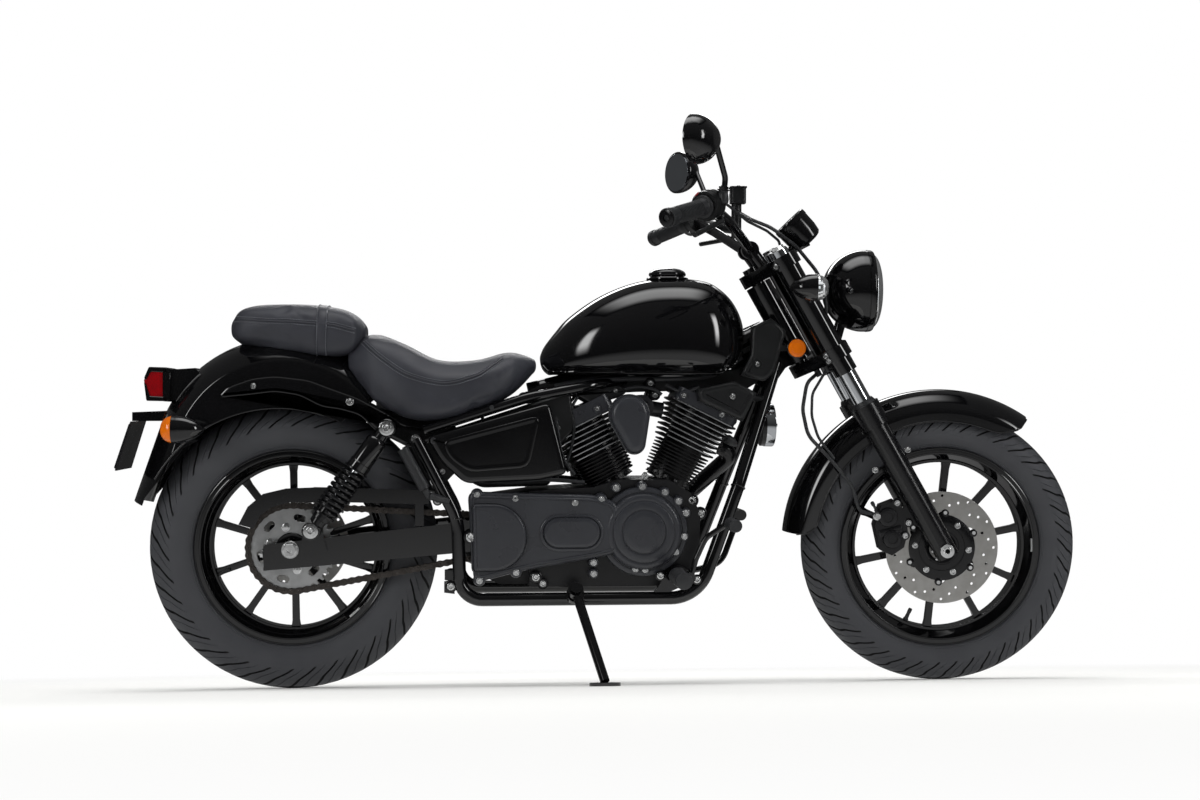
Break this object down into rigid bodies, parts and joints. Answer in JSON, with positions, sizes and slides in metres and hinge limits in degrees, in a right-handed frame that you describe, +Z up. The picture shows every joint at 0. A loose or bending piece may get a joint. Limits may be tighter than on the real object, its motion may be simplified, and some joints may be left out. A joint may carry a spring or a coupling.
{
  "type": "cruiser motorcycle",
  "caption": "Low cruiser motorcycle leaning on its side stand: V-twin engine, teardrop fuel tank, stepped leather saddle, wide bars, valanced fenders and cast spoked wheels.",
  "frame": {"origin": "centre of the bounding box's footprint, on the ground", "axes": "+X forwards along the ground, +Y to the side away from the stand, +Z up; the bike leans towards -Y on its stand"},
  "size_m": [2.0808, 0.8914, 1.268],
  "materials": {
    "gloss_black": "deep gloss black paint",
    "satin_black": "satin black powder coat",
    "engine_black": "satin black cast engine paint",
    "cover_grey": "dark grey satin cast cover",
    "fin_metal": "black cast fins with machined bright edges",
    "chrome": "polished chrome",
    "steel": "brushed stainless steel",
    "chain_steel": "oiled dark chain steel",
    "aluminium": "bare machined aluminium",
    "seat_leather": "anthracite grained leatherette",
    "tyre": "grey-black rubber",
    "rubber": "matt black rubber",
    "black_plastic": "matt moulded plastic",
    "gloss_plastic": "gloss moulded plastic",
    "clear_lens": "clear lens",
    "red_lens": "red lens",
    "amber_lens": "amber lens",
    "mirror": "silvered glass",
    "plate": "blank dark plate"
  },
  "bodies": {
    "chassis": {"frame_spine": "satin_black", "frame_cradle_near": "satin_black", "frame_cradle_far": "satin_black", "rear_subframe": "gloss_black", "swingarm": "satin_black", "rear_axle": "steel", "chain_guard": "black_plastic", "drive_chain": "chain_steel", "shocks": "satin_black", "rear_fender": "gloss_black", "mudflap": "black_plastic", "fuel_tank": "gloss_black", "fuel_cap": "gloss_black", "rider_seat": "seat_leather", "pillion_seat": "seat_leather", "side_covers": "gloss_plastic", "crankcase": "engine_black", "engine_covers": "cover_grey", "engine_cylinders": "fin_metal", "head_covers": "engine_black", "air_cleaner": "engine_black", "frame_covers": "black_plastic", "horn": "satin_black", "exhaust": "satin_black", "footpegs": "rubber", "foot_controls": "satin_black", "tail_bracket": "gloss_plastic", "tail_lens": "red_lens", "number_plate": "plate", "rear_signals": "gloss_black", "amber_lenses": "amber_lens"},
    "steering": {"fork_clamps": "satin_black", "fork_stanchions": "chrome", "fork_sliders": "satin_black", "front_axle": "steel", "brake_caliper": "satin_black", "front_fender": "gloss_black", "headlamp_shell": "gloss_black", "instrument": "gloss_black", "front_signals": "gloss_black", "front_lenses": "clear_lens", "handlebar": "satin_black", "grips": "rubber", "bar_controls": "black_plastic", "mirrors": "gloss_black", "mirror_glass": "mirror", "front_hoses": "rubber"},
    "front_wheel": {"front_tyre": "tyre", "front_rim": "satin_black", "front_disc": "steel"},
    "rear_wheel": {"rear_tyre": "tyre", "rear_rim": "satin_black", "rear_disc": "steel", "rear_sprocket": "aluminium"},
    "stand": {"side_stand": "satin_black"}
  },
  "joints": [
    {"name": "steering", "type": "hinge", "parent": "chassis", "child": "steering", "pos_m": [0.44873, 0.05927, 0.67771], "axis": [-0.492, -0.1211, 0.8621], "range_deg": [-30.5, 41.5]},
    {"name": "front_wheel_spin", "type": "hinge", "parent": "steering", "child": "front_wheel", "pos_m": [0.73923, 0.10632, 0.29798], "axis": [0.0835, 0.9791, 0.1852], "continuous": true},
    {"name": "rear_wheel_spin", "type": "hinge", "parent": "chassis", "child": "rear_wheel", "pos_m": [-0.6745, 0.11171, 0.30519], "axis": [0.0001, 0.9903, 0.1392], "continuous": true},
    {"name": "side_stand_swing", "type": "hinge", "parent": "chassis", "child": "stand", "pos_m": [-0.07756, -0.03905, 0.1954], "axis": [-0.0002, 0.9135, -0.4067], "range_deg": [0, 95]}
  ]
}
